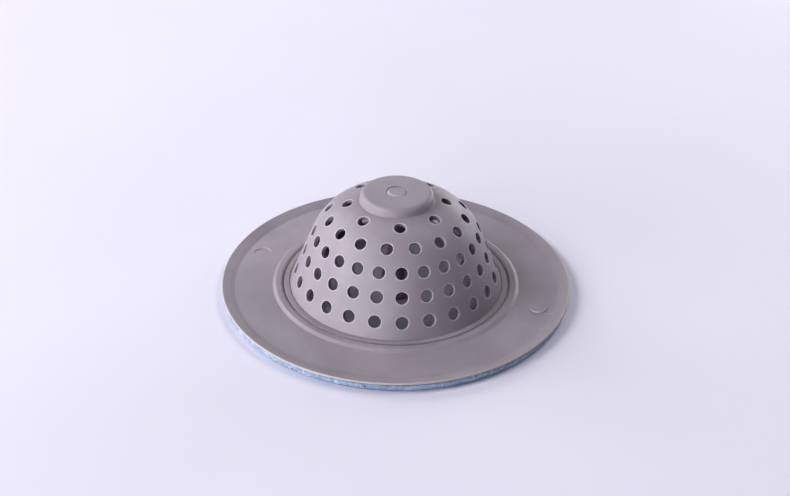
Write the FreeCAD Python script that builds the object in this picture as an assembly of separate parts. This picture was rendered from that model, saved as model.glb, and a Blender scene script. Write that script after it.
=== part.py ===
import FreeCAD, Part
import math
import os

from FreeCAD import Vector

# Sink strainer: a soft perforated bowl with a wide flange, on a rigid rim ring.
# It stands on the ring with the bowl upwards, and is turned over to sit in a drain.
# Lengths are in millimetres and angles in degrees. The axis is Z, the origin lies on
# the axis in the face that the ring stands on, and the front is towards -Y.

# Whole strainer
overall_height = 35.0
flange_radius = 56.5

# Rim ring
ring_plate = 1.0
ring_setback = 0.5
ring_foot_round = 1.0
ring_top_round = 0.3
ring_mouth_round = 0.4
rib_width = 1.4
rib_height = 0.7
rib_round = 0.25

# Play between the soft moulding and the ring
seat_clearance = 0.15
mouth_setback = 0.3

# Flange of the soft moulding
flange_thickness = 1.0
lip_width = 4.1
lip_rise = 1.2
lip_shoulder_run = 1.4
lip_shoulder_rise = 0.58
lip_shoulder_round = 5.0
lip_edge = 0.55
lip_edge_lean = 0.25
lip_foot_round = 0.8
lip_top_round = 0.25

# Raised bead, groove and ledge around the foot of the bowl
bead_edge_radius = 39.0
bead_height = 0.7
bead_outer_run = 1.1
bead_inner_round = 1.0
bead_outer_round = 0.25
bead_foot_round = 0.3
groove_radius = 36.6
groove_half_width = 0.5
groove_depth = 0.6
ledge_height = 0.5
crease_width = 0.45
crease_depth = 0.3

# Bowl
bowl_foot_radius = 34.3
wall_lean = 22.4
wall_thickness = 1.5
crown_rounding = 20.4
mouth_round = 0.4

# Boss in the middle of the crown, with a ring mark in its face
boss_height = 2.6
boss_radius = 11.8
boss_draft = 8.0
boss_round = 1.7
mark_radius = 3.5
mark_width = 0.9
mark_depth = 0.3

# Lift post inside the bowl, with a flat bar across its end that fingers hook under
post_radius = 3.0
post_root_round = 1.5
head_length = 18.5
head_width = 8.8
head_thickness = 1.5
head_round = 0.4
head_setback = 0.3

# Drain holes, row by row from the foot of the bowl up to the boss, each row a little narrower
hole_diameter = 3.95
hole_narrowing = 0.08
holes_per_row = (24, 24, 24, 16, 8)
rows_set_between = (3,)
foot_to_first_row = 5.3
last_row_to_boss = 4.0
row_closing = 0.985

# Two round pads opposite each other in the flange, both sloping down to the rear:
# the one on the right stands out of the face, the one on the left is sunk into it
pad_diameter = 5.6
pad_offset = 0.22
pad_tilt = 4.0
pad_circle_radius = 47.6
pad_angle = 67.5

# Heights that follow from the sizes above
flange_under = ring_plate
flange_top = flange_under + flange_thickness
ledge_top = flange_top + ledge_height
crown_top = overall_height - boss_height
lip_foot_radius = flange_radius - lip_width
bead_inner_radius = groove_radius + groove_half_width
rib_radius = (bead_inner_radius + bead_edge_radius) / 2
ring_radius = flange_radius - ring_setback
lean = math.radians(wall_lean)

AXIS = Vector(0, 0, 1)
ORIGIN = Vector(0, 0, 0)


def rounded_outline(corners):
    """Closed face in the X-Z plane from corners (radius, height, rounding)."""
    points = [Vector(radius, 0, height) for radius, height, _ in corners]
    stretches = []
    for index, (_, _, rounding) in enumerate(corners):
        point = points[index]
        back = (points[index - 1] - point).normalize()
        ahead = (points[(index + 1) % len(points)] - point).normalize()
        if rounding == 0:
            stretches.append((point, None, point))
            continue
        half_angle = back.getAngle(ahead) / 2
        reach = rounding / math.tan(half_angle)
        middle = (back + ahead).normalize()
        nearest = middle * (rounding / math.sin(half_angle) - rounding)
        stretches.append((point + back * reach, point + nearest, point + ahead * reach))
    edges = []
    for index, (start, bend, end) in enumerate(stretches):
        if bend is not None:
            edges.append(Part.Arc(start, bend, end).toShape())
        following = stretches[(index + 1) % len(stretches)][0]
        if (following - end).Length > 1e-6:
            edges.append(Part.LineSegment(end, following).toShape())
    return Part.Face(Part.Wire(edges))


def turned(corners):
    """Solid of revolution about the axis."""
    return rounded_outline(corners).revolve(ORIGIN, AXIS, 360)


def cone_radius(height, foot_radius):
    """Radius of the straight wall at a height, for the wall's radius at the ledge."""
    return foot_radius - (height - ledge_top) * math.tan(lean)


def wall_place(distance):
    """Point on the wall's outer face in the X-Z plane, and the outward normal there.

    The distance runs up the wall from its foot: first the straight cone, then the arc.
    """
    arc_height = crown_top - crown_rounding
    corner_radius = cone_radius(crown_top, bowl_foot_radius)
    tangent_reach = crown_rounding * math.tan((math.pi / 2 - lean) / 2)
    arc_radius = corner_radius - tangent_reach
    cone_length = (crown_top - ledge_top) / math.cos(lean) - tangent_reach
    if distance <= cone_length:
        height = ledge_top + distance * math.cos(lean)
        return Vector(cone_radius(height, bowl_foot_radius), 0, height), lean
    turn = lean + (distance - cone_length) / crown_rounding
    reach = Vector(math.cos(turn), 0, math.sin(turn)) * crown_rounding
    return Vector(arc_radius, 0, arc_height) + reach, turn


def wall_length_to(radius):
    """Distance up the wall to where the crown's arc passes a radius."""
    corner_radius = cone_radius(crown_top, bowl_foot_radius)
    tangent_reach = crown_rounding * math.tan((math.pi / 2 - lean) / 2)
    cone_length = (crown_top - ledge_top) / math.cos(lean) - tangent_reach
    turn = math.acos((radius - corner_radius + tangent_reach) / crown_rounding)
    return cone_length + (turn - lean) * crown_rounding


def row_distances():
    """Distance of each row of holes up the wall. The rows close up towards the boss."""
    last_row = wall_length_to(boss_radius) - last_row_to_boss
    gaps = [row_closing ** index for index in range(len(holes_per_row) - 1)]
    pitch = (last_row - foot_to_first_row) / sum(gaps)
    distances = [foot_to_first_row]
    for gap in gaps:
        distances.append(distances[-1] + gap * pitch)
    return distances


def drain_holes():
    """Cylinders square to the wall, from outside the bowl to inside it."""
    depth = 3 * wall_thickness
    cutters = []
    for row, distance in enumerate(row_distances()):
        place, turn = wall_place(distance)
        outward = Vector(math.cos(turn), 0, math.sin(turn))
        start = place + outward * wall_thickness
        diameter = hole_diameter - row * hole_narrowing
        cutter = Part.makeCylinder(diameter / 2, depth, start, outward * -1)
        step = 360 / holes_per_row[row]
        first = -90 + (step / 2 if row in rows_set_between else 0)
        for number in range(holes_per_row[row]):
            hole = cutter.copy()
            hole.rotate(ORIGIN, AXIS, first + number * step)
            cutters.append(hole)
    return cutters


def pad_column(angle, offset):
    """Upright column on a pad, and the space above the pad's sloping face."""
    turn = math.radians(angle)
    tilt = math.radians(pad_tilt)
    middle = Vector(math.cos(turn), math.sin(turn), 0) * pad_circle_radius
    foot = middle + AXIS * (flange_top - flange_thickness / 2)
    column = Part.makeCylinder(pad_diameter / 2, 2 * flange_thickness, foot)
    upward = Vector(0, math.sin(tilt), math.cos(tilt))
    face = middle + AXIS * (flange_top + offset)
    return column, Part.makeCylinder(pad_diameter, 2 * flange_thickness, face, upward)


def raised_pad():
    """Disc that stands out of the flange's face, most at its front."""
    column, above = pad_column(pad_angle - 90, pad_offset)
    return column.cut(above)


def sunk_pad():
    """Cutter for the disc that lies below the flange's face, most at its rear."""
    column, above = pad_column(pad_angle + 90, -pad_offset)
    return column.common(above)


def boss_mark():
    """Ring-shaped groove in the boss's face."""
    floor = Vector(0, 0, overall_height - mark_depth)
    outer = Part.makeCylinder(mark_radius, 2 * mark_depth, floor)
    inner = Part.makeCylinder(mark_radius - mark_width, 2 * mark_depth, floor)
    return outer.cut(inner)


def lift_head():
    """Flat bar with round ends, set front to back across the post's end."""
    half = head_width / 2
    end = head_length / 2
    reach = end - half
    front_right = Vector(half, -reach, head_setback)
    back_right = Vector(half, reach, head_setback)
    back_left = Vector(-half, reach, head_setback)
    front_left = Vector(-half, -reach, head_setback)
    outline = Part.Wire([
        Part.LineSegment(front_right, back_right).toShape(),
        Part.Arc(back_right, Vector(0, end, head_setback), back_left).toShape(),
        Part.LineSegment(back_left, front_left).toShape(),
        Part.Arc(front_left, Vector(0, -end, head_setback), front_right).toShape(),
    ])
    bar = Part.Face(outline).extrude(AXIS * head_thickness)
    flat_edges = [edge for edge in bar.Edges if edge.BoundBox.ZLength < head_thickness / 2]
    return bar.makeFillet(head_round, flat_edges)


def lip_under_height(radius):
    """Height of the lip's underside, which rises from the flange to the lip's edge."""
    edge_height = flange_top + lip_rise - lip_edge
    share = (radius - lip_foot_radius) / lip_width
    return flange_under + share * (edge_height - flange_under)


def strainer_bowl():
    """Soft moulding: flange with lip and bead, perforated bowl, boss and lift post."""
    mouth_radius = cone_radius(flange_under, bowl_foot_radius) - wall_thickness / math.cos(lean)
    inner_top = crown_top - wall_thickness
    inner_corner = mouth_radius - (inner_top - flange_under) * math.tan(lean)
    recess_inner = rib_radius - rib_width / 2 - seat_clearance
    recess_outer = rib_radius + rib_width / 2 + seat_clearance
    recess_top = flange_under + rib_height + seat_clearance
    crease_floor = ledge_top - crease_depth
    post_end = head_setback + head_thickness / 2
    shell = turned([
        (0, crown_top, 0),
        (cone_radius(crown_top, bowl_foot_radius), crown_top, crown_rounding),
        (cone_radius(crease_floor, bowl_foot_radius), crease_floor, 0),
        (bowl_foot_radius + crease_width, ledge_top, 0),
        (groove_radius - groove_half_width, ledge_top, 0),
        (groove_radius, ledge_top - groove_depth, 0),
        (bead_inner_radius, flange_top + bead_height, bead_inner_round),
        (bead_edge_radius, flange_top + bead_height, bead_outer_round),
        (bead_edge_radius + bead_outer_run, flange_top, bead_foot_round),
        (lip_foot_radius, flange_top, lip_foot_round),
        (lip_foot_radius + lip_shoulder_run, flange_top + lip_shoulder_rise, lip_shoulder_round),
        (flange_radius - lip_edge_lean, flange_top + lip_rise, lip_top_round),
        (flange_radius, lip_under_height(flange_radius), 0),
        (lip_foot_radius, flange_under, lip_foot_round),
        (recess_outer, flange_under, 0),
        (recess_outer, recess_top, rib_round),
        (recess_inner, recess_top, rib_round),
        (recess_inner, flange_under, 0),
        (mouth_radius, flange_under, mouth_round),
        (inner_corner, inner_top, crown_rounding - wall_thickness),
        (post_radius, inner_top, post_root_round),
        (post_radius, post_end, 0),
        (0, post_end, 0),
    ])
    boss_foot = crown_top - wall_thickness / 2
    boss_top_radius = boss_radius - boss_height * math.tan(math.radians(boss_draft))
    boss_foot_radius = boss_radius + wall_thickness / 2 * math.tan(math.radians(boss_draft))
    boss = turned([
        (0, overall_height, 0),
        (boss_top_radius, overall_height, boss_round),
        (boss_foot_radius, boss_foot, 0),
        (0, boss_foot, 0),
    ])
    whole = shell.fuse([boss, lift_head(), raised_pad()])
    return whole.cut(drain_holes() + [sunk_pad(), boss_mark()])


def rim_ring():
    """Rigid ring: flat plate, turned-up outer edge and a rib that seats under the bead."""
    mouth_radius = cone_radius(flange_under, bowl_foot_radius) - wall_thickness / math.cos(lean)
    inner_radius = mouth_radius + mouth_setback
    rib_inner = rib_radius - rib_width / 2
    rib_outer = rib_radius + rib_width / 2
    slope = (lip_under_height(flange_radius) - flange_under) / lip_width
    drop = seat_clearance * math.hypot(1, slope)
    edge_top = lip_under_height(ring_radius) - drop
    slope_foot = lip_foot_radius + drop / slope
    return turned([
        (inner_radius, 0, ring_mouth_round),
        (ring_radius, 0, ring_foot_round),
        (ring_radius, edge_top, ring_top_round),
        (slope_foot, ring_plate, lip_foot_round),
        (rib_outer, ring_plate, 0),
        (rib_outer, ring_plate + rib_height, rib_round),
        (rib_inner, ring_plate + rib_height, rib_round),
        (rib_inner, ring_plate, 0),
        (inner_radius, ring_plate, ring_mouth_round),
    ])


def main():
    os.makedirs("parts", exist_ok=True)
    strainer_bowl().exportStep("parts/strainer_bowl.step")
    rim_ring().exportStep("parts/rim_ring.step")


main()
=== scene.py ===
import math

import bmesh
import bpy
from bpy.props import FloatProperty, FloatVectorProperty, IntProperty, PointerProperty
from bpy.types import Operator, Panel, PropertyGroup
from mathutils import Matrix, Vector, noise


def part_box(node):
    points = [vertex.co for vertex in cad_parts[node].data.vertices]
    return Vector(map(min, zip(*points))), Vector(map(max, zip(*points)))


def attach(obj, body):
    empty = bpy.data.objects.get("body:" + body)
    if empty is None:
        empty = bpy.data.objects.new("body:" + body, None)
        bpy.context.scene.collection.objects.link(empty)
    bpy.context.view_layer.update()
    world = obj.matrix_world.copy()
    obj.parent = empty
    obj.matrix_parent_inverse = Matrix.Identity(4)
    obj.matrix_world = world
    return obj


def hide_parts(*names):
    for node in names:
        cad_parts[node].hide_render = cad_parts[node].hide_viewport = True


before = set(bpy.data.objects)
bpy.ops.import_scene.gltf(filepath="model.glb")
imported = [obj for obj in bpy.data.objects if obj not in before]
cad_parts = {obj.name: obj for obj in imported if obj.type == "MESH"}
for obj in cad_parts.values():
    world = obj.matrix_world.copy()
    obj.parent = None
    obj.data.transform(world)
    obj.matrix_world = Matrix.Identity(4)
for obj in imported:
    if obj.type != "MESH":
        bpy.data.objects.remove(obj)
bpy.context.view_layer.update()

bl_info = {
    "name": "Sink strainer",
    "version": (1, 0, 0),
    "blender": (4, 5, 0),
    "location": "View3D > Sidebar > Strainer",
    "description": "Builds the visible form and finish of a soft sink strainer on its rim ring",
    "category": "Object",
}

MM = 0.001
BOWL_LOW, BOWL_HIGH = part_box("strainer_bowl")
BOWL_WIDTH = (BOWL_HIGH[0] - BOWL_LOW[0]) / MM
BOWL_HEIGHT = BOWL_HIGH[2] / MM
FRONT = -math.pi / 2

# Drain holes in each row from the bowl's foot to its boss, and the row that stands half a step aside.
HOLES_PER_ROW = (24, 24, 24, 16, 8)
ROW_SET_BETWEEN = 3

# Share of the row spacing by which the pierced band passes its first and its last row.
BAND_SHARE = 0.45

# Mesh steps along the side of a pierced cell, across a pad's cell and round a rounded edge.
CELL_SIDE_STEPS = 8
PAD_CELL_STEPS = 8
EDGE_STEPS = 4

# Points of a mesh that are nearer to each other than this are one point.
WELD_DISTANCE = 1e-6

# Soft lip: its mean rise, and each wave's count round the axis, share of the rise and direction.
LIP_LEVEL = 0.5
LIP_WAVES = ((2, 0.35, 2.5), (5, 0.15, -0.12))

# Ring mark: fineness and share of each grain in it, then for its depth and for its painted highlight the
# mean, the swing round the axis and the direction in which it is least.
MARK_GRAINS = ((1400, 0.45), (500, 0.35))
MARK_DEPTH = (1.2, 0.35, 0.3)
MARK_HIGHLIGHT = (0.4, 1.0, 0.6)

# Painted highlight on the lip's edge: where it starts and is full, inside the edge and above the flange.
LIP_HIGHLIGHT_INSIDE = (0.75 * MM, 0.2 * MM)
LIP_HIGHLIGHT_ABOVE = (0.3 * MM, 0.8 * MM)

# Middle value of a noise texture.
NOISE_MIDDLE = 0.5

# Photographed view: where the camera stands, seen from the strainer, and how it is held.
CAMERA_TURN = math.radians(-3.8)
CAMERA_DISTANCE = 410.5 * MM
CAMERA_RISE = math.radians(33.44)
CAMERA_PITCH = math.radians(32.1)
CAMERA_YAW = math.radians(0.07)
CAMERA_ROLL = math.radians(0.83)
CAMERA_AIM_HEIGHT = 2.75 * MM

# Soft lights: name, direction seen from the camera's side and elevation in degrees, width and
# height in metres, and power in watts.
LIGHT_DISTANCE = 1.3
SOFT_LIGHTS = (
    ("Low front left", 242, 10, 1.2, 0.4, 6.0),
    ("Low left", 205, 10, 0.8, 0.4, 4.5),
    ("Rear left", 145, 26, 0.7, 0.5, 4.5),
    ("High left", 195, 41, 0.6, 0.5, 5.5),
    ("Low rear right", 50, 10, 1.1, 0.4, 5.0),
    ("High right", 28, 54, 0.6, 0.6, 3.5),
    ("Rear", 92, 26, 0.6, 0.8, 1.5),
    ("Top", 90, 88, 0.6, 0.6, 1.0),
)

# Floor: half its side, and the distances from the axis where its even far tone begins and is full.
FLOOR_HALF = 3.0
FLOOR_LIT = 0.4
FLOOR_FAR = 0.8


def length(name, description, millimetres):
    """Length property, which Blender keeps in metres."""
    return FloatProperty(
        name=name, description=description, default=millimetres * MM, min=0.0,
        unit="LENGTH", subtype="DISTANCE", precision=5,
    )


def slant(name, description, degrees):
    """Angle property."""
    return FloatProperty(
        name=name, description=description, default=math.radians(degrees),
        unit="ROTATION", subtype="ANGLE",
    )


def tint(name, description, colour):
    """Colour property in linear light."""
    return FloatVectorProperty(
        name=name, description=description, default=colour, size=3, min=0.0, max=1.0, subtype="COLOR",
    )


def share(name, description, default, top=1.0):
    """Plain number from nothing to a top value."""
    return FloatProperty(name=name, description=description, default=default, min=0.0, max=top)


class StrainerSizes(PropertyGroup):
    """Sizes of the soft moulding and of the rim ring that it sits on."""

    flange_radius: length("Flange radius", "Axis to the lip's edge", BOWL_WIDTH / 2)
    overall_height: length("Overall height", "Standing face to the boss", BOWL_HEIGHT)

    ring_plate: length("Ring plate", "Thickness of the ring's plate", 1.0)
    ring_setback: length("Ring setback", "Ring's outer face inside the lip's edge", 0.5)
    ring_foot_round: length("Ring foot rounding", "Lower outer edge of the ring", 1.0)
    ring_top_round: length("Ring top rounding", "Upper outer edge of the ring", 0.3)
    ring_mouth_round: length("Ring mouth rounding", "Inner edges of the ring", 0.4)
    rib_width: length("Rib width", "Rib that seats under the bead", 1.4)
    rib_height: length("Rib height", "Rib above the plate", 0.7)
    rib_round: length("Rib rounding", "Upper edges of the rib", 0.25)
    seat_clearance: length("Seat clearance", "Play between moulding and ring", 0.15)
    mouth_setback: length("Mouth setback", "Ring's mouth outside the bowl's", 0.3)

    flange_thickness: length("Flange thickness", "Thickness of the flat flange", 1.0)
    lip_width: length("Lip width", "Width of the rising lip", 4.1)
    lip_rise: length("Lip rise", "How far the lip rises over the flange", 1.2)
    lip_shoulder_run: length("Lip shoulder run", "Lip's foot to its shoulder", 1.4)
    lip_shoulder_rise: length("Lip shoulder rise", "Height of the shoulder", 0.58)
    lip_shoulder_round: length("Lip shoulder rounding", "Rounding of the shoulder", 5.0)
    lip_edge: length("Lip edge", "Thickness of the lip at its edge", 0.55)
    lip_edge_lean: length("Lip edge lean", "How far the edge leans in", 0.25)
    lip_foot_round: length("Lip foot rounding", "Rounding where the lip starts", 0.8)
    lip_top_round: length("Lip top rounding", "Upper edge of the lip", 0.25)
    lip_wave: length("Lip wave", "How unevenly the soft lip lies", 0.22)
    lip_spring: length("Lip spring", "Flat flange that follows the lip's waves", 1.5)

    bead_edge_radius: length("Bead edge radius", "Axis to the bead's outer edge", 39.0)
    bead_height: length("Bead height", "Bead above the flange", 0.7)
    bead_outer_run: length("Bead outer run", "Width of the bead's outer slope", 1.1)
    bead_inner_round: length("Bead inner rounding", "Inner edge of the bead", 0.9)
    bead_outer_round: length("Bead outer rounding", "Outer edge of the bead", 0.25)
    bead_foot_round: length("Bead foot rounding", "Foot of the bead's slope", 0.3)
    groove_radius: length("Groove radius", "Axis to the groove inside the bead", 36.6)
    groove_half_width: length("Groove half width", "Groove's bottom to its edge", 0.5)
    groove_depth: length("Groove depth", "Groove below the ledge", 0.6)
    ledge_height: length("Ledge height", "Ledge above the flange", 0.5)
    crease_width: length("Crease width", "Crease between ledge and bowl", 0.45)
    crease_depth: length("Crease depth", "Crease below the ledge", 0.3)

    bowl_foot_radius: length("Bowl foot radius", "Radius of the bowl at the ledge", 34.3)
    wall_lean: slant("Wall lean", "Lean of the bowl's straight wall", 22.4)
    wall_thickness: length("Wall thickness", "Thickness of the bowl", 1.5)
    crown_rounding: length("Crown rounding", "Rounding between wall and crown", 20.4)
    mouth_round: length("Mouth rounding", "Edge of the bowl's mouth", 0.4)

    boss_height: length("Boss height", "Boss above the crown", 2.6)
    boss_radius: length("Boss radius", "Radius of the boss at its foot", 11.8)
    boss_draft: slant("Boss draft", "Lean of the boss's side", 8.0)
    boss_round: length("Boss rounding", "Upper edge of the boss", 1.7)
    boss_foot_round: length("Boss foot rounding", "Foot of the boss on the crown", 0.35)
    mark_radius: length("Mark radius", "Outer radius of the ring mark on the boss", 3.5)
    mark_width: length("Mark width", "Width of the ring mark", 0.9)
    mark_depth: length("Mark depth", "Depth of the ring mark", 0.3)
    mark_slope: length("Mark slope", "Width of the ring mark's steep outer side", 0.2)

    post_radius: length("Post radius", "Radius of the lift post", 3.0)
    post_root_round: length("Post root rounding", "Foot of the post on the crown", 1.5)
    head_length: length("Head length", "Length of the lift post's flat bar", 18.5)
    head_width: length("Head width", "Width of the lift post's flat bar", 8.8)
    head_thickness: length("Head thickness", "Thickness of the flat bar", 1.5)
    head_round: length("Head rounding", "Edges of the flat bar", 0.4)
    head_setback: length("Head setback", "Flat bar above the standing face", 0.3)

    hole_diameter: length("Hole diameter", "Diameter of a drain hole in the first row", 3.95)
    hole_narrowing: length("Hole narrowing", "How much narrower each further row is", 0.08)
    hole_edge_round: length("Hole edge rounding", "Edges of a drain hole", 0.12)
    foot_to_first_row: length("First row", "Up the wall to the first row of holes", 5.3)
    last_row_to_boss: length("Last row", "Last row of holes to the boss", 4.0)
    row_closing: share("Row closing", "Each row spacing as a share of the one below", 0.985)

    pad_diameter: length("Pad diameter", "Diameter of a round pad", 5.6)
    pad_offset: length("Pad offset", "Middle of a pad above or below the flange", 0.22)
    pad_tilt: slant("Pad tilt", "Slope of a pad's face down to the rear", 4.0)
    pad_edge: length("Pad edge", "Width of a pad's rounded edge", 0.15)
    pad_circle_radius: length("Pad circle radius", "Axis to a pad's middle", 47.6)
    pad_angle: slant("Pad angle", "Raised pad, counted from the front", 67.5)
    pad_margin: length("Pad margin", "Flat flange kept beside a pad", 0.8)

    sharp_round: length("Sharp rounding", "Edges that are moulded sharp", 0.1)
    round_steps: IntProperty(name="Steps round", description="Faces round the axis", default=192, min=48)


class SoftFinish(PropertyGroup):
    """Finish of the soft grey moulding."""

    colour: tint("Colour", "Main grey", (0.376, 0.341, 0.388))
    shade: tint("Shade", "Darker clouding in the grey", (0.336, 0.304, 0.348))
    # Painted highlight along the top of the lip's outer edge.
    painted_lip_highlight: tint("Thin edge", "Paler tone of the thin lip edge", (0.50, 0.44, 0.44))
    # Painted highlight: paler tone on the rounded edges of holes and pads and on the ring mark.
    painted_edge_highlight: tint("Pale edge", "Paler tone of highlighted edges, as of the holes", (0.56, 0.52, 0.57))
    dust: tint("Dust", "Pale specks on the surface", (0.60, 0.57, 0.62))
    dust_strength: share("Dust strength", "How clearly the dust shows", 0.25)
    scuff_strength: share("Scuff strength", "How clearly short scuffs show", 0.12)
    roughness: share("Roughness", "Roughness of the moulded skin", 0.48)
    rubbed_gloss: share("Rubbed gloss", "How much smoother rubbed patches are", 0.07)
    grain_dullness: share("Grain dullness", "How much the grain changes the roughness", 0.12)
    specular: share("Specular", "Strength of the sheen", 0.4)
    grain: share("Grain", "Strength of the fine moulded grain", 0.22)
    grain_height: length("Grain height", "Height of the fine moulded grain", 0.12)


class RingFinish(PropertyGroup):
    """Finish of the flecked ring."""

    colour: tint("Colour", "Main pale blue", (0.36, 0.46, 0.60))
    shade: tint("Shade", "Darker clouding in the blue", (0.24, 0.32, 0.45))
    light_fleck: tint("Light fleck", "Pale plant fibres", (0.62, 0.68, 0.76))
    dark_fleck: tint("Dark fleck", "Dark plant fibres", (0.10, 0.12, 0.20))
    light_strength: share("Light strength", "How clearly the pale fibres show", 0.6)
    fibre_relief: share("Fibre relief", "How far the pale fibres stand out of the grain", 0.6)
    roughness: share("Roughness", "Roughness of the ring", 0.42)
    rubbed_dullness: share("Rubbed dullness", "How much duller rubbed patches are", 0.08)
    grain: share("Grain", "Strength of the ring's grain", 0.12)
    grain_height: length("Grain height", "Height of the ring's grain", 0.1)


class StudioLook(PropertyGroup):
    """Floor, light and lens of the view."""

    floor: tint("Floor", "Colour of the pale floor", (0.80, 0.78, 0.90))
    clouding: share("Clouding", "Tone of the floor's clouding, as a share of its colour", 0.985)
    brightness: share("Brightness", "Strength of all the soft lights together", 1.02, 10.0)
    surround: share("Surround", "Strength of the light from all round", 0.02, 10.0)
    backdrop: share("Backdrop", "Brightness of the far floor and of what is seen above it", 0.75, 10.0)
    lens: FloatProperty(
        name="Lens", description="Focal length on a sensor 36 mm wide",
        default=57.26, min=1.0, unit="CAMERA",
    )


def around(radius, height, angle):
    return Vector((radius * math.cos(angle), radius * math.sin(angle), height))


def placed(name, data):
    """New object in the scene."""
    made = bpy.data.objects.new(name, data)
    bpy.context.scene.collection.objects.link(made)
    return made


class Skin:
    """Points and faces of one piece, gathered before they become a mesh."""

    def __init__(self, steps):
        self.steps = steps
        self.points = []
        self.faces = []
        self.edge_highlights = {}

    def angle(self, step):
        return FRONT + 2 * math.pi * step / self.steps

    def angles(self):
        return [self.angle(step) for step in range(self.steps)]

    def add(self, places, edge_highlights=()):
        """Adds points and gives their numbers, with how much painted edge highlight each of them gets."""
        numbers = list(range(len(self.points), len(self.points) + len(places)))
        self.points.extend(places)
        self.edge_highlights.update(zip(numbers, edge_highlights))
        return numbers

    def ring(self, radius, height):
        """Numbers of a row of points round the axis, or of one point on it."""
        if radius < WELD_DISTANCE:
            return self.add([Vector((0, 0, height))])
        return self.add([around(radius, height, angle) for angle in self.angles()])

    def join(self, one, other):
        """Faces between two closed rows, either of which may be a single point."""
        count = max(len(one), len(other))
        for step in range(count):
            following = (step + 1) % count
            corners = [one[step % len(one)], one[following % len(one)]]
            corners += [other[following % len(other)], other[step % len(other)]]
            kept = [corner for place, corner in enumerate(corners) if corner not in corners[:place]]
            self.faces.append(kept)

    def join_all(self, rows):
        """Faces between neighbouring rows."""
        for one, other in zip(rows, rows[1:]):
            self.join(one, other)

    def turn(self, outline):
        """Skin turned about the axis from an outline of (radius, height)."""
        self.join_all([self.ring(radius, height) for radius, height in outline])

    def rows(self, loops, edge_highlights=None):
        """Faces between neighbouring loops of places, with the painted edge highlight of each loop's
        points.
        """
        edge_highlights = edge_highlights or [()] * len(loops)
        self.join_all([self.add(loop, rim) for loop, rim in zip(loops, edge_highlights)])

    def piece(self, name):
        """Closed, smooth mesh object."""
        mesh = bpy.data.meshes.new(name)
        mesh.from_pydata(self.points, [], self.faces)
        # The rim attribute holds the painted highlight on the edges of holes and pads and on the ring
        # mark.
        if self.edge_highlights:
            rim = mesh.attributes.new("rim", "FLOAT", "POINT")
            values = [self.edge_highlights.get(index, 0.0) for index in range(len(self.points))]
            rim.data.foreach_set("value", values)
        shape = bmesh.new()
        shape.from_mesh(mesh)
        bmesh.ops.remove_doubles(shape, verts=shape.verts, dist=WELD_DISTANCE)
        bmesh.ops.recalc_face_normals(shape, faces=shape.faces)
        for face in shape.faces:
            face.smooth = True
        if any(not edge.is_manifold for edge in shape.edges):
            raise RuntimeError(f"{name} isn't closed")
        shape.to_mesh(mesh)
        shape.free()
        return placed(name, mesh)


def rounded(corners, arc_steps=5, hold=0.12 * MM):
    """Outline through corners (radius, height, rounding).

    Roundings become arcs, and each straight stretch gets a point close to each of its ends, which
    keeps flat faces flat beside a rounding.
    """
    stretches = []
    for index, (radius, height, rounding) in enumerate(corners):
        here = Vector((radius, height))
        if rounding == 0 or index in (0, len(corners) - 1):
            stretches.append([here])
            continue
        back = (Vector(corners[index - 1][:2]) - here).normalized()
        ahead = (Vector(corners[index + 1][:2]) - here).normalized()
        half = back.angle(ahead) / 2
        middle = here + (back + ahead).normalized() * (rounding / math.sin(half))
        start = here + back * (rounding / math.tan(half)) - middle
        end = here + ahead * (rounding / math.tan(half)) - middle
        first = math.atan2(start.y, start.x)
        sweep = math.remainder(math.atan2(end.y, end.x) - first, 2 * math.pi)
        turns = [first + sweep * step / arc_steps for step in range(arc_steps + 1)]
        stretches.append([middle + Vector((math.cos(turn), math.sin(turn))) * rounding for turn in turns])
    outline = []
    for index, stretch in enumerate(stretches):
        if index:
            start, end = outline[-1], stretch[0]
            run = (end - start).length
            if run > 3 * hold:
                outline.append(start.lerp(end, hold / run))
                outline.append(start.lerp(end, 1 - hold / run))
        outline.extend(stretch)
    return outline


def flange_top(sizes):
    return sizes.ring_plate + sizes.flange_thickness


def lip_foot_radius(sizes):
    return sizes.flange_radius - sizes.lip_width


def lip_under(sizes, radius):
    """Height of the lip's underside, which rises from the flange to the lip's edge."""
    edge = flange_top(sizes) + sizes.lip_rise - sizes.lip_edge
    rise = (radius - lip_foot_radius(sizes)) / sizes.lip_width
    return sizes.ring_plate + rise * (edge - sizes.ring_plate)


def rib_corners(sizes, play):
    """Corners of the rib under the bead, or of its recess with some play, from outside inwards."""
    middle = (sizes.groove_radius + sizes.groove_half_width + sizes.bead_edge_radius) / 2
    half = sizes.rib_width / 2 + play
    foot = sizes.ring_plate
    top = foot + sizes.rib_height + play
    return [
        (middle + half, foot, sizes.sharp_round),
        (middle + half, top, sizes.rib_round),
        (middle - half, top, sizes.rib_round),
        (middle - half, foot, sizes.sharp_round),
    ]


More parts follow.
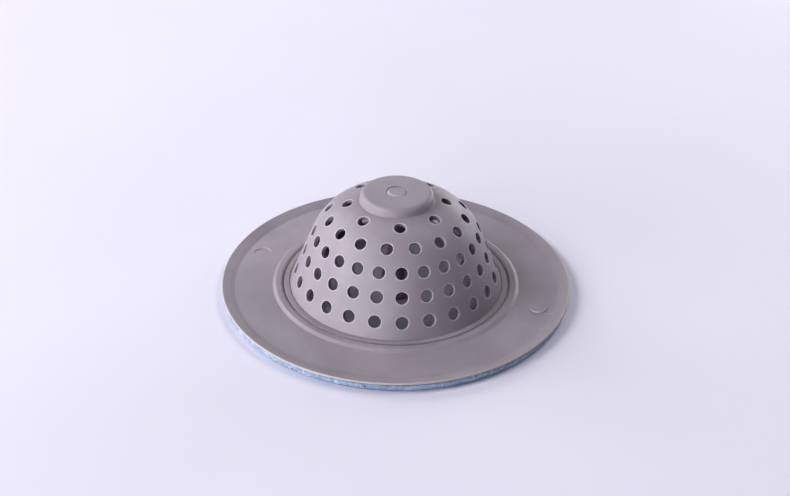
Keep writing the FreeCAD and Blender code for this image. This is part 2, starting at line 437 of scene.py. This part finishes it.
class Wall:
    """Section of the bowl's wall: a straight cone, the crown's arc and the flat crown."""

    def __init__(self, sizes):
        self.lean = sizes.wall_lean
        self.ledge = flange_top(sizes) + sizes.ledge_height
        self.top = sizes.overall_height - sizes.boss_height
        self.foot = sizes.bowl_foot_radius
        self.bend = sizes.crown_rounding
        self.thickness = sizes.wall_thickness
        reach = self.bend * math.tan((math.pi / 2 - self.lean) / 2)
        self.cone_length = (self.top - self.ledge) / math.cos(self.lean) - reach
        self.arc_radius = self.cone_radius(self.top) - reach
        self.arc_height = self.top - self.bend
        self.arc_end = self.cone_length + (math.pi / 2 - self.lean) * self.bend
        self.boss_foot = self.distance_to(sizes.boss_radius)
        self.mouth_radius = self.cone_radius(sizes.ring_plate) - self.thickness / math.cos(self.lean)
        self.rows = self.row_distances(sizes)
        self.band_low = self.rows[0] - BAND_SHARE * (self.rows[1] - self.rows[0])
        self.band_high = self.rows[-1] + BAND_SHARE * (self.rows[-1] - self.rows[-2])

    def cone_radius(self, height):
        return self.foot - (height - self.ledge) * math.tan(self.lean)

    def place(self, distance, depth=0.0):
        """Radius and height at a distance up the outer face, and a depth square into the wall."""
        turn = self.lean
        if distance <= self.cone_length:
            height = self.ledge + distance * math.cos(self.lean)
            face = Vector((self.cone_radius(height), height))
        else:
            turn = self.lean + (distance - self.cone_length) / self.bend
            face = Vector((self.arc_radius, self.arc_height))
            face += Vector((math.cos(turn), math.sin(turn))) * self.bend
        return face - Vector((math.cos(turn), math.sin(turn))) * depth

    def point(self, distance, angle, depth):
        radius, height = self.place(distance, depth)
        return around(radius, height, angle)

    def round_place(self, centre, angle, direction, size, inside):
        """Point of a circle that lies on the outer or the inner face."""
        depth = self.thickness if inside else 0.0
        rise = math.sin(direction) * size
        if inside and centre > self.cone_length:
            rise *= self.bend / (self.bend - self.thickness)
        distance = centre + rise
        radius = self.place(distance, depth)[0]
        return self.point(distance, angle + math.cos(direction) * size / radius, depth)

    def distance_to(self, radius):
        """Distance up the wall to where the crown's arc passes a radius."""
        turn = math.acos((radius - self.arc_radius) / self.bend)
        return self.cone_length + (turn - self.lean) * self.bend

    def row_distances(self, sizes):
        """Distance of each row of holes up the wall. The rows close up towards the boss."""
        first = sizes.foot_to_first_row
        last = self.boss_foot - sizes.last_row_to_boss
        gaps = [sizes.row_closing ** index for index in range(len(HOLES_PER_ROW) - 1)]
        pitch = (last - first) / sum(gaps)
        return [first + pitch * sum(gaps[:row]) for row in range(len(HOLES_PER_ROW))]


def side_places(start, end):
    """Places along the side of a cell, with both its ends."""
    return [start + (end - start) * step / CELL_SIDE_STEPS for step in range(CELL_SIDE_STEPS + 1)]


def cell_border(low, high, first, last):
    """Places (distance, step) once round a cell, from its low first corner."""
    across = last - first
    border = [(low, first + step) for step in range(across)]
    border += [(place, last) for place in side_places(low, high)[:-1]]
    border += [(high, last - step) for step in range(across)]
    border += [(place, first) for place in side_places(high, low)[:-1]]
    return border


def border_directions(across):
    """Direction on the circle of a hole or pad for each place of its cell's border."""
    half = across + CELL_SIDE_STEPS
    start = -math.pi / 2 - math.pi / 2 * across / half
    return [start + math.pi * step / half for step in range(2 * half)]


def edge_rounding(edge):
    """Steps (inset, drop) of an edge rounded to a radius, from its flat to its upright side."""
    bends = [math.pi / 2 * step / EDGE_STEPS for step in range(EDGE_STEPS + 1)]
    return [(edge * (1 - math.sin(bend)), edge * (1 - math.cos(bend))) for bend in bends]


def drain_hole(skin, wall, border, directions, centre, angle, hole, sizes):
    """Skin of one cell of the wall: both faces round a hole, its rounded edges and its side."""
    edge = sizes.hole_edge_round
    thickness = sizes.wall_thickness
    rounding = edge_rounding(edge)[1:]

    # Shares of the way from the cell's border to the hole, closer together near the hole.
    blends = (0.0, 0.35, 0.65, 0.88, 1.0)

    def face(inside):
        depth = thickness if inside else 0.0
        flat = []
        for blend in blends:
            loop = []
            for (distance, step), turn in zip(border, directions):
                across = math.cos(turn) * (hole + edge) / wall.place(centre, depth)[0]
                rise = math.sin(turn) * (hole + edge)
                loop.append(wall.point(
                    distance + (centre + rise - distance) * blend,
                    skin.angle(step) + (angle + across - skin.angle(step)) * blend,
                    depth,
                ))
            flat.append(loop)
        flat[-1] = [wall.round_place(centre, angle, turn, hole + edge, inside) for turn in directions]
        return flat

    def bore(size, depth):
        outside = [wall.round_place(centre, angle, turn, size, False) for turn in directions]
        inside = [wall.round_place(centre, angle, turn, size, True) for turn in directions]
        return [one.lerp(other, depth / thickness) for one, other in zip(outside, inside)]

    count = len(directions)
    loops = face(False)
    # Painted highlight, full on the hole's outer edge and fading down its rounding.
    edge_highlights = [()] * (len(loops) - 1) + [[1.0] * count]
    for inset, drop in rounding:
        loops.append(bore(hole + inset, drop))
        edge_highlights.append([1 - drop / edge] * count)
    loops.append(bore(hole, thickness / 2))
    loops.extend(bore(hole + inset, thickness - drop) for inset, drop in reversed(rounding))
    loops.extend(reversed(face(True)))
    edge_highlights += [()] * (len(loops) - len(edge_highlights))
    skin.rows(loops, edge_highlights)


def perforated_wall(skin, wall, sizes):
    """Both faces of the bowl's wall with all its rows of holes."""
    limits = [wall.band_low]
    limits += [(one + other) / 2 for one, other in zip(wall.rows, wall.rows[1:])]
    limits.append(wall.band_high)
    for row, (count, centre) in enumerate(zip(HOLES_PER_ROW, wall.rows)):
        across = skin.steps // count
        directions = border_directions(across)
        aside = across // 2 if row == ROW_SET_BETWEEN else 0
        radius = (sizes.hole_diameter - row * sizes.hole_narrowing) / 2
        for hole in range(count):
            middle = hole * across + aside
            first = middle - across // 2
            border = cell_border(limits[row], limits[row + 1], first, first + across)
            drain_hole(skin, wall, border, directions, centre, skin.angle(middle), radius, sizes)


def pad(skin, border, directions, turn, offset, sizes):
    """One round pad in the flange that slopes down to the rear, raised or sunk by an offset."""
    angle = FRONT + turn
    top = flange_top(sizes)
    middle = around(sizes.pad_circle_radius, top, angle)
    size = sizes.pad_diameter / 2
    edge = sizes.pad_edge

    # Over the edge of a sunk pad: how far outside its circle, the share of its step and the share of
    # painted highlight.
    fall = [
        (edge, 0.0, 1.0),
        (0.4 * edge, 0.1, 1.0),
        (0.0, 0.45, 0.3),
        (-0.2 * edge, 0.95, 0.0),
        (-0.5 * edge, 1.0, 0.0),
    ]
    climb = [(-away, 1 - part, pale) for away, part, pale in reversed(fall)]

    def rise(out):
        return offset - math.tan(sizes.pad_tilt) * out.y

    def circle(radius, part):
        outs = [around(radius, 0.0, angle + math.pi / 2 - direction) for direction in directions]
        return [middle + out + Vector((0, 0, rise(out) * part)) for out in outs]

    outer = [around(radius, top, skin.angle(step)) for radius, step in border]
    brink = circle(size + 2 * edge, 0.0)
    loops = [outer]

    # Shares of the way from the cell's border to the pad's brink.
    for blend in (0.4, 0.75):
        loops.append([one.lerp(other, blend) for one, other in zip(outer, brink)])
    loops.append(brink)
    edge_highlights = [()] * len(loops)
    for away, part, pale in climb if offset > 0 else fall:
        loops.append(circle(size + away, part))
        # Painted highlight on the pad's step, strongest where the step stands tallest.
        edge_highlights.append([pale * min(1.0, (rise(place - middle) / (2 * offset)) ** 2) for place in loops[-1]])
    loops += [circle(size - 2 * edge, 1.0), circle(size / 2, 1.0), [circle(0.0, 1.0)[0]]]
    edge_highlights += [()] * (len(loops) - len(edge_highlights))
    skin.rows(loops, edge_highlights)


def padded_flange(skin, low, high, sizes):
    """Flat band of the flange with a raised pad and, opposite it, a sunk one."""
    rows = [skin.ring(radius, flange_top(sizes)) for radius in side_places(low, high)]
    half = PAD_CELL_STEPS // 2
    taken = set()
    directions = border_directions(PAD_CELL_STEPS)
    opposite = sizes.pad_angle + math.pi
    for turn, offset in ((sizes.pad_angle, sizes.pad_offset), (opposite, -sizes.pad_offset)):
        middle = round(turn / (2 * math.pi) * skin.steps)
        border = cell_border(low, high, middle - half, middle + half)
        pad(skin, border, directions, turn, offset, sizes)
        taken.update((middle + step) % skin.steps for step in range(-half, half))
    for one, other in zip(rows, rows[1:]):
        for step in range(skin.steps):
            if step not in taken:
                following = (step + 1) % skin.steps
                skin.faces.append([one[step], one[following], other[following], other[step]])


def bar_reach(sizes, angle):
    """Distance from the axis to the outline of the lift post's round-ended bar in a direction."""
    half = sizes.head_width / 2
    straight = sizes.head_length / 2 - half
    aside = abs(math.cos(angle))
    along = abs(math.sin(angle))
    if straight * aside >= half * along:
        return half / aside
    return straight * along + math.sqrt(half * half - (straight * aside) ** 2)


def lift_bar(skin, sizes):
    """Skin of the flat bar at the lift post's end, set front to back."""
    bottom = sizes.head_setback
    top = bottom + sizes.head_thickness
    angles = skin.angles()
    insets = [(inset, top - drop) for inset, drop in edge_rounding(sizes.head_round)]
    insets += [(inset, bottom + top - height) for inset, height in reversed(insets)]
    loops = [[around(sizes.post_radius, top, angle) for angle in angles]]
    for inset, height in insets:
        loops.append([around(bar_reach(sizes, angle) - inset, height, angle) for angle in angles])
    loops.append([Vector((0, 0, bottom))])
    skin.rows(loops)


def settle_lip(point, radius, angle, sizes):
    """Lets a point of the thin lip lie higher or lower, as soft lips come out of the mould."""
    spring = lip_foot_radius(sizes) - sizes.lip_spring
    if radius > spring:
        reach = (radius - spring) / (sizes.flange_radius - spring)
        waves = sum(part * math.cos(count * (angle - turn)) for count, part, turn in LIP_WAVES)
        point.z += sizes.lip_wave * (LIP_LEVEL + waves) * reach * reach


def swung(angle, mean, swing, least):
    """Value that changes once round the axis and is least in one direction."""
    return mean - swing * math.cos(angle - least)


def roughen_mark(skin, index, radius, angle, sizes):
    """Gives a point of the ring mark its uneven depth and its painted highlight, strongest on one side.
    """
    point = skin.points[index]
    sunk = sizes.overall_height - point.z
    inner = sizes.mark_radius - sizes.mark_width
    outer = sizes.mark_radius
    slope = sizes.mark_slope
    if sunk < 2 * sizes.mark_depth and inner - slope < radius < outer + slope:
        rough = sum(noise.noise(point * fineness) * part for fineness, part in MARK_GRAINS)
        point.z = sizes.overall_height - sunk * (swung(angle, *MARK_DEPTH) + rough)
        # Painted highlight on the mark's inner slope, strongest on the side towards the lights.
        if inner < radius < outer - slope / 2:
            skin.edge_highlights[index] = max(0.0, swung(angle, *MARK_HIGHLIGHT) + rough)


def settle_soft_form(skin, sizes):
    """Makes the thin lip and the ring mark as uneven as they are on a soft moulding."""
    for index, point in enumerate(skin.points):
        radius = math.hypot(point.x, point.y)
        angle = math.atan2(point.y, point.x)
        settle_lip(point, radius, angle, sizes)
        roughen_mark(skin, index, radius, angle, sizes)


def crown_and_boss(sizes, wall):
    """Outline from the middle of the boss down to the pierced band."""
    top = sizes.overall_height
    mark_floor = top - sizes.mark_depth
    mark_inner = sizes.mark_radius - sizes.mark_width
    small = sizes.sharp_round
    boss_top_radius = sizes.boss_radius - sizes.boss_height * math.tan(sizes.boss_draft)
    return rounded([
        (0, top, 0),
        (mark_inner, top, small),
        (sizes.mark_radius - sizes.mark_slope, mark_floor, small),
        (sizes.mark_radius, top, small),
        (boss_top_radius, top, sizes.boss_round),
        (*wall.place(wall.boss_foot), sizes.boss_foot_round),
        (*wall.place(wall.band_high), 0),
    ], arc_steps=7)


def foot_and_bead(sizes, wall, flat_start):
    """Outline from the pierced band over crease, ledge, groove and bead to the flat flange."""
    top = flange_top(sizes)
    bead_top = top + sizes.bead_height
    crease_floor = wall.ledge - sizes.crease_depth
    small = sizes.sharp_round
    return rounded([
        (*wall.place(wall.band_low), 0),
        (wall.cone_radius(crease_floor), crease_floor, small),
        (sizes.bowl_foot_radius + sizes.crease_width, wall.ledge, small),
        (sizes.groove_radius - sizes.groove_half_width, wall.ledge, small),
        (sizes.groove_radius, wall.ledge - sizes.groove_depth, small),
        (sizes.groove_radius + sizes.groove_half_width, bead_top, sizes.bead_inner_round),
        (sizes.bead_edge_radius, bead_top, sizes.bead_outer_round),
        (sizes.bead_edge_radius + sizes.bead_outer_run, top, sizes.bead_foot_round),
        (flat_start, top, 0),
    ])


def lip_and_underside(sizes, wall, flat_end):
    """Outline from the flat flange round the lip and back under the flange to the bowl's mouth."""
    top = flange_top(sizes)
    under = sizes.ring_plate
    lip_foot = lip_foot_radius(sizes)
    return rounded([
        (flat_end, top, 0),
        (lip_foot, top, sizes.lip_foot_round),
        (lip_foot + sizes.lip_shoulder_run, top + sizes.lip_shoulder_rise, sizes.lip_shoulder_round),
        (sizes.flange_radius - sizes.lip_edge_lean, top + sizes.lip_rise, sizes.lip_top_round),
        (sizes.flange_radius, lip_under(sizes, sizes.flange_radius), sizes.sharp_round),
        (lip_foot, under, sizes.lip_foot_round),
        *rib_corners(sizes, sizes.seat_clearance),
        (wall.mouth_radius, under, sizes.mouth_round),
        (*wall.place(wall.band_low, wall.thickness), 0),
    ])


def inner_crown_and_post(sizes, wall, arc_steps=8):
    """Outline from the pierced band over the inside of the crown and down the lift post."""
    rise = (wall.arc_end - wall.band_high) / arc_steps
    arc = [wall.place(wall.band_high + rise * step, wall.thickness) for step in range(arc_steps + 1)]
    inner_top = wall.top - wall.thickness
    return arc[:-1] + rounded([
        (*arc[-1], 0),
        (sizes.post_radius, inner_top, sizes.post_root_round),
        (sizes.post_radius, sizes.head_setback + sizes.head_thickness, 0),
    ])


def soft_moulding(sizes):
    """Mesh of the flange, bowl, boss and lift post in one skin."""
    skin = Skin(sizes.round_steps)
    wall = Wall(sizes)
    pad_reach = sizes.pad_diameter / 2 + sizes.pad_margin
    flat_start = sizes.pad_circle_radius - pad_reach
    flat_end = sizes.pad_circle_radius + pad_reach
    skin.turn(crown_and_boss(sizes, wall))
    perforated_wall(skin, wall, sizes)
    skin.turn(foot_and_bead(sizes, wall, flat_start))
    padded_flange(skin, flat_start, flat_end, sizes)
    skin.turn(lip_and_underside(sizes, wall, flat_end))
    skin.turn(inner_crown_and_post(sizes, wall))
    lift_bar(skin, sizes)
    settle_soft_form(skin, sizes)
    return skin


def ring_form(sizes):
    """Mesh of the ring: flat plate, turned-up edge and the rib under the bead."""
    skin = Skin(sizes.round_steps)
    radius = sizes.flange_radius - sizes.ring_setback
    mouth = Wall(sizes).mouth_radius + sizes.mouth_setback
    plate = sizes.ring_plate
    slope = (lip_under(sizes, sizes.flange_radius) - plate) / sizes.lip_width
    drop = sizes.seat_clearance * math.hypot(1, slope)
    start = ((mouth + radius) / 2, 0, 0)
    skin.turn(rounded([
        start,
        (radius, 0, sizes.ring_foot_round),
        (radius, lip_under(sizes, radius) - drop, sizes.ring_top_round),
        (lip_foot_radius(sizes) + drop / slope, plate, sizes.lip_foot_round),
        *rib_corners(sizes, 0.0),
        (mouth, plate, sizes.ring_mouth_round),
        (mouth, 0, sizes.ring_mouth_round),
        start,
    ]))
    return skin


def feed(tree, socket, value):
    """Links another node's output to an input, or sets the input to a constant."""
    if isinstance(value, bpy.types.NodeSocket):
        tree.links.new(value, socket)
    else:
        socket.default_value = value


def feed_all(tree, node, **inputs):
    """Feeds inputs of a node by name, with spaces as underscores."""
    for name, value in inputs.items():
        feed(tree, node.inputs[name.replace("_", " ")], value)


def add_node(tree, kind, settings=(), **inputs):
    """New shader node with its settings and its inputs."""
    made = tree.nodes.new(kind)
    for name, value in settings:
        setattr(made, name, value)
    feed_all(tree, made, **inputs)
    return made


def number(tree, operation, one, other=0.0):
    """Output of an operation on two values, each a number or another output."""
    made = add_node(tree, "ShaderNodeMath", [("operation", operation)])
    for socket, value in zip(made.inputs, (one, other)):
        feed(tree, socket, value)
    return made.outputs[0]


def spread(tree, value, low, high, to_low=0.0, to_high=1.0):
    """Output of a smooth step from one range to another."""
    made = add_node(
        tree, "ShaderNodeMapRange", [("interpolation_type", "SMOOTHSTEP")],
        Value=value, From_Min=low, From_Max=high, To_Min=to_low, To_Max=to_high,
    )
    return made.outputs["Result"]


def speckle(tree, vector, scale, detail, distortion=0.0):
    """Output of a noise texture."""
    made = add_node(
        tree, "ShaderNodeTexNoise", Vector=vector, Scale=scale, Detail=detail, Distortion=distortion,
    )
    return made.outputs["Fac"]


def dots(tree, vector, scale, size):
    """Output of small round spots, one in each cell."""
    made = add_node(tree, "ShaderNodeTexVoronoi", Vector=vector, Scale=scale)
    return spread(tree, made.outputs["Distance"], size / 2, size, to_low=1.0, to_high=0.0)


def blended(tree, factor, one, other):
    """Output of a colour mix. Each side is a colour or another output."""
    made = add_node(tree, "ShaderNodeMix", [("data_type", "RGBA")], Factor=factor)
    for name, value in (("A", one), ("B", other)):
        socket = next(each for each in made.inputs if each.name == name and each.type == "RGBA")
        feed(tree, socket, value if isinstance(value, bpy.types.NodeSocket) else (*value, 1.0))
    return next(each for each in made.outputs if each.type == "RGBA")


def new_group(name, scales, outputs):
    """Empty shader node group with a vector and scales as its inputs, and its two end nodes."""
    tree = bpy.data.node_groups.new(name, "ShaderNodeTree")
    tree.interface.new_socket("Vector", in_out="INPUT", socket_type="NodeSocketVector")
    for socket, default in scales:
        made = tree.interface.new_socket(socket, in_out="INPUT", socket_type="NodeSocketFloat")
        made.default_value = default
    for socket in outputs:
        tree.interface.new_socket(socket, in_out="OUTPUT", socket_type="NodeSocketFloat")
    return tree, add_node(tree, "NodeGroupInput"), add_node(tree, "NodeGroupOutput")


def moulded_skin_group():
    """Fine spark-eroded grain and soft clouding of a moulded surface."""
    name = "Moulded skin"
    if name in bpy.data.node_groups:
        return bpy.data.node_groups[name]
    scales = (("Grain Scale", 3000.0), ("Cloud Scale", 60.0))
    tree, given, result = new_group(name, scales, ("Grain", "Clouds"))
    vector = given.outputs["Vector"]
    grain = speckle(tree, vector, given.outputs["Grain Scale"], detail=3.0)
    clouds = speckle(tree, vector, given.outputs["Cloud Scale"], detail=4.0, distortion=0.4)
    feed_all(tree, result, Grain=grain, Clouds=spread(tree, clouds, low=0.3, high=0.7))
    return tree


def handling_marks_group():
    """Faint rubbed patches, short scuffs and dust left by hands and packing."""
    name = "Handling marks"
    if name in bpy.data.node_groups:
        return bpy.data.node_groups[name]
    scales = [("Patch Scale", 90.0)]
    tree, given, result = new_group(name, scales, ("Rubbed", "Scuffs", "Dust"))
    vector = given.outputs["Vector"]
    patches = speckle(tree, vector, given.outputs["Patch Scale"], detail=3.0, distortion=1.2)
    rubbed = spread(tree, patches, low=0.5, high=0.72)
    stretch = add_node(
        tree, "ShaderNodeMapping", Vector=vector, Rotation=(0.2, 0.1, 0.6), Scale=(1.0, 7.0, 7.0),
    )
    streaks = speckle(tree, stretch.outputs["Vector"], scale=170.0, detail=4.0)
    scuffs = spread(tree, streaks, low=0.66, high=0.74)
    sparse = spread(tree, speckle(tree, vector, scale=140.0, detail=1.0), low=0.56, high=0.66)
    dust = number(tree, "MULTIPLY", dots(tree, vector, scale=420.0, size=0.14), sparse)
    feed_all(tree, result, Rubbed=rubbed, Scuffs=scuffs, Dust=dust)
    return tree


def start_material(name):
    """Empty material with its surface shader, and the object's own coordinates."""
    made = bpy.data.materials.new(name)
    made.use_nodes = True
    tree = made.node_tree
    tree.nodes.clear()
    surface = add_node(tree, "ShaderNodeBsdfPrincipled")
    add_node(tree, "ShaderNodeOutputMaterial", Surface=surface.outputs["BSDF"])
    place = add_node(tree, "ShaderNodeTexCoord").outputs["Object"]
    return made, tree, surface, place


def use_group(tree, group, place, **inputs):
    """Places a node group and feeds its inputs."""
    return add_node(tree, "ShaderNodeGroup", [("node_tree", group)], Vector=place, **inputs)


def bumped(tree, height, finish):
    """Output of the normal of a surface with a height on it, as strong as its grain."""
    made = add_node(
        tree, "ShaderNodeBump", Height=height, Strength=finish.grain, Distance=finish.grain_height,
    )
    return made.outputs["Normal"]


def axis_distance(tree, place):
    """Outputs of the distance from the axis and of the height."""
    parts = add_node(tree, "ShaderNodeSeparateXYZ", Vector=place).outputs
    flat = add_node(tree, "ShaderNodeCombineXYZ", X=parts["X"], Y=parts["Y"]).outputs["Vector"]
    measure = add_node(tree, "ShaderNodeVectorMath", [("operation", "LENGTH")], Vector=flat)
    return measure.outputs["Value"], parts["Z"]


def soft_grey(finish, sizes):
    """Satin grey soft plastic, with painted highlights at the lip's edge and at the edges of holes, pads
    and mark.
    """
    made, tree, surface, place = start_material("Soft grey moulding")
    skin = use_group(tree, moulded_skin_group(), place, Grain_Scale=2600.0, Cloud_Scale=55.0)
    marks = use_group(tree, handling_marks_group(), place, Patch_Scale=80.0)
    clouded = blended(tree, skin.outputs["Clouds"], finish.colour, finish.shade)
    # Painted highlight along the top of the lip's outer edge, masked by radius and height.
    radius, height = axis_distance(tree, place)
    outer = spread(tree, radius, *(sizes.flange_radius - inside for inside in LIP_HIGHLIGHT_INSIDE))
    upper = spread(tree, height, *(flange_top(sizes) + above for above in LIP_HIGHLIGHT_ABOVE))
    with_lip_highlight = blended(tree, number(tree, "MULTIPLY", outer, upper), clouded, finish.painted_lip_highlight)
    # Painted highlight on the edges of holes and pads and on the ring mark, read from the rim attribute.
    rim = add_node(tree, "ShaderNodeAttribute", [("attribute_name", "rim")]).outputs["Fac"]
    with_edge_highlights = blended(tree, rim, with_lip_highlight, finish.painted_edge_highlight)
    scuffed = number(tree, "MULTIPLY", marks.outputs["Scuffs"], finish.scuff_strength)
    dusty = number(tree, "MULTIPLY", marks.outputs["Dust"], finish.dust_strength)
    dusted = number(tree, "MAXIMUM", scuffed, dusty)
    rubbed = number(tree, "MULTIPLY", marks.outputs["Rubbed"], -finish.rubbed_gloss)
    grained = number(tree, "MULTIPLY", skin.outputs["Grain"], finish.grain_dullness)
    level = finish.roughness - finish.grain_dullness * NOISE_MIDDLE
    feed_all(
        tree, surface,
        Base_Color=blended(tree, dusted, with_edge_highlights, finish.dust),
        Roughness=number(tree, "ADD", number(tree, "ADD", rubbed, grained), level),
        Specular_IOR_Level=finish.specular,
        Normal=bumped(tree, skin.outputs["Grain"], finish),
    )
    return made


def flecked_blue(finish):
    """Pale blue plastic with light and dark plant fibres."""
    made, tree, surface, place = start_material("Flecked blue ring")
    skin = use_group(tree, moulded_skin_group(), place, Grain_Scale=3400.0, Cloud_Scale=420.0)
    marks = use_group(tree, handling_marks_group(), place, Patch_Scale=120.0)
    clouded = blended(tree, skin.outputs["Clouds"], finish.colour, finish.shade)
    fibres = speckle(tree, place, scale=520.0, detail=2.0, distortion=0.8)
    ridge = number(tree, "ABSOLUTE", number(tree, "SUBTRACT", fibres, NOISE_MIDDLE))
    thread = spread(tree, ridge, low=0.015, high=0.05, to_low=1.0, to_high=0.0)
    broken = spread(tree, speckle(tree, place, scale=330.0, detail=1.0), low=0.46, high=0.56)
    light = number(tree, "MULTIPLY", number(tree, "MULTIPLY", thread, broken), finish.light_strength)
    paler = blended(tree, light, clouded, finish.light_fleck)
    chosen = spread(tree, speckle(tree, place, scale=300.0, detail=1.0), low=0.56, high=0.62)
    dark = number(tree, "MULTIPLY", dots(tree, place, scale=520.0, size=0.24), chosen)
    rubbed = number(tree, "MULTIPLY", marks.outputs["Rubbed"], finish.rubbed_dullness)
    relief = number(tree, "MULTIPLY", light, finish.fibre_relief)
    height = number(tree, "ADD", skin.outputs["Grain"], relief)
    feed_all(
        tree, surface,
        Base_Color=blended(tree, dark, paler, finish.dark_fleck),
        Roughness=number(tree, "ADD", rubbed, finish.roughness),
        Normal=bumped(tree, height, finish),
    )
    return made


def pale_floor(look):
    """Matt pale floor with faint clouding, which far off has one even tone of its own."""
    made, tree, surface, place = start_material("Pale floor")
    clouds = spread(tree, speckle(tree, place, scale=9.0, detail=3.0), low=0.3, high=0.7)
    shade = tuple(channel * look.clouding for channel in look.floor)
    near = blended(tree, clouds, look.floor, shade)
    far = spread(tree, axis_distance(tree, place)[0], FLOOR_LIT, FLOOR_FAR)
    feed_all(
        tree, surface,
        Base_Color=blended(tree, far, near, (0, 0, 0)),
        Emission_Color=blended(tree, far, (0, 0, 0), look.floor),
        Emission_Strength=look.backdrop,
        Roughness=0.6,
        Specular_IOR_Level=0.25,
    )
    return made


class STRAINER_OT_make_bowl(Operator):
    """Builds the soft moulding with its flange, perforated bowl, boss and lift post"""

    bl_idname = "strainer.make_bowl"
    bl_label = "Soft moulding"

    def execute(self, context):
        sizes = context.scene.strainer_sizes
        made = soft_moulding(sizes).piece("soft_moulding")
        made.data.materials.append(soft_grey(context.scene.strainer_soft_finish, sizes))
        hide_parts("strainer_bowl")
        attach(made, "bowl")
        return {"FINISHED"}


class STRAINER_OT_make_ring(Operator):
    """Builds the rigid flecked ring that carries the flange"""

    bl_idname = "strainer.make_ring"
    bl_label = "Rim ring"

    def execute(self, context):
        made = ring_form(context.scene.strainer_sizes).piece("flecked_ring")
        made.data.materials.append(flecked_blue(context.scene.strainer_ring_finish))
        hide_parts("rim_ring")
        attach(made, "ring")
        return {"FINISHED"}


def pale_ground(look):
    """Large flat floor that the strainer stands on."""
    mesh = bpy.data.meshes.new("floor")
    corners = [(x * FLOOR_HALF, y * FLOOR_HALF, 0) for x, y in ((-1, -1), (1, -1), (1, 1), (-1, 1))]
    mesh.from_pydata(corners, [], [(0, 1, 2, 3)])
    mesh.materials.append(pale_floor(look))
    floor = placed("floor", mesh)


def surround_light(look):
    """Faint even light from all round, and the pale backdrop that is seen above the floor."""
    world = bpy.data.worlds.new("Surround")
    world.use_nodes = True
    tree = world.node_tree
    background = next(node for node in tree.nodes if node.type == "BACKGROUND")
    seen = add_node(tree, "ShaderNodeLightPath").outputs["Is Camera Ray"]
    strength = number(tree, "MAXIMUM", number(tree, "MULTIPLY", seen, look.backdrop), look.surround)
    feed_all(tree, background, Color=(*look.floor, 1.0), Strength=strength)
    bpy.context.scene.world = world


def soft_light(name, azimuth, elevation, width, height, power):
    """Rectangular light that looks at the strainer from a direction seen from the camera's side."""
    lamp = bpy.data.lights.new(name, "AREA")
    lamp.shape = "RECTANGLE"
    lamp.size = width
    lamp.size_y = height
    lamp.energy = power
    rise = math.radians(elevation)
    turn = math.radians(azimuth) + CAMERA_TURN
    direction = around(math.cos(rise), math.sin(rise), turn)
    made = placed(name, lamp)
    made.location = direction * LIGHT_DISTANCE
    made.rotation_euler = direction.to_track_quat("Z", "Y").to_euler()


def view_camera(lens):
    """Camera at the photographed viewing angle."""
    data = bpy.data.cameras.new("View")
    data.sensor_width = 36.0
    data.sensor_fit = "HORIZONTAL"
    data.lens = lens
    data.clip_start = 0.01
    place = Vector((0, -math.cos(CAMERA_RISE), math.sin(CAMERA_RISE))) * CAMERA_DISTANCE
    place.z += CAMERA_AIM_HEIGHT
    back = Vector((
        math.sin(CAMERA_YAW) * math.cos(CAMERA_PITCH),
        -math.cos(CAMERA_YAW) * math.cos(CAMERA_PITCH),
        math.sin(CAMERA_PITCH),
    ))
    level = Vector((math.cos(CAMERA_YAW), math.sin(CAMERA_YAW), 0))
    right = level * math.cos(CAMERA_ROLL) + back.cross(level) * math.sin(CAMERA_ROLL)
    held = Matrix((right, back.cross(right), back)).transposed().to_4x4()
    turn = Matrix.Rotation(CAMERA_TURN, 4, "Z")
    made = placed("View", data)
    made.matrix_world = turn @ Matrix.Translation(place) @ held
    bpy.context.scene.camera = made


class STRAINER_OT_make_stage(Operator):
    """Builds the pale floor, the soft studio light and the camera"""

    bl_idname = "strainer.make_stage"
    bl_label = "Floor, light and camera"

    def execute(self, context):
        look = context.scene.strainer_studio
        pale_ground(look)
        surround_light(look)
        for name, azimuth, elevation, width, height, power in SOFT_LIGHTS:
            soft_light(name, azimuth, elevation, width, height, power * look.brightness)
        view_camera(look.lens)
        context.scene.view_settings.view_transform = "Standard"
        context.scene.view_settings.look = "High Contrast"
        return {"FINISHED"}


class STRAINER_PT_sidebar(Panel):
    """Lists the pieces of the strainer and its stage"""

    bl_idname = "STRAINER_PT_sidebar"
    bl_label = "Sink strainer"
    bl_space_type = "VIEW_3D"
    bl_region_type = "UI"
    bl_category = "Strainer"

    def draw(self, context):
        for maker in MAKERS:
            self.layout.operator(maker.bl_idname)


SETTINGS = {
    "strainer_sizes": StrainerSizes,
    "strainer_soft_finish": SoftFinish,
    "strainer_ring_finish": RingFinish,
    "strainer_studio": StudioLook,
}
MAKERS = (STRAINER_OT_make_ring, STRAINER_OT_make_bowl, STRAINER_OT_make_stage)
CLASSES = (*SETTINGS.values(), *MAKERS, STRAINER_PT_sidebar)


def register():
    for part in CLASSES:
        bpy.utils.register_class(part)
    for name, group in SETTINGS.items():
        setattr(bpy.types.Scene, name, PointerProperty(type=group))


def unregister():
    for name in SETTINGS:
        delattr(bpy.types.Scene, name)
    for part in reversed(CLASSES):
        bpy.utils.unregister_class(part)


def main():
    register()
    bpy.ops.strainer.make_ring()
    bpy.ops.strainer.make_bowl()
    bpy.ops.strainer.make_stage()


if __name__ == "__main__":
    main()
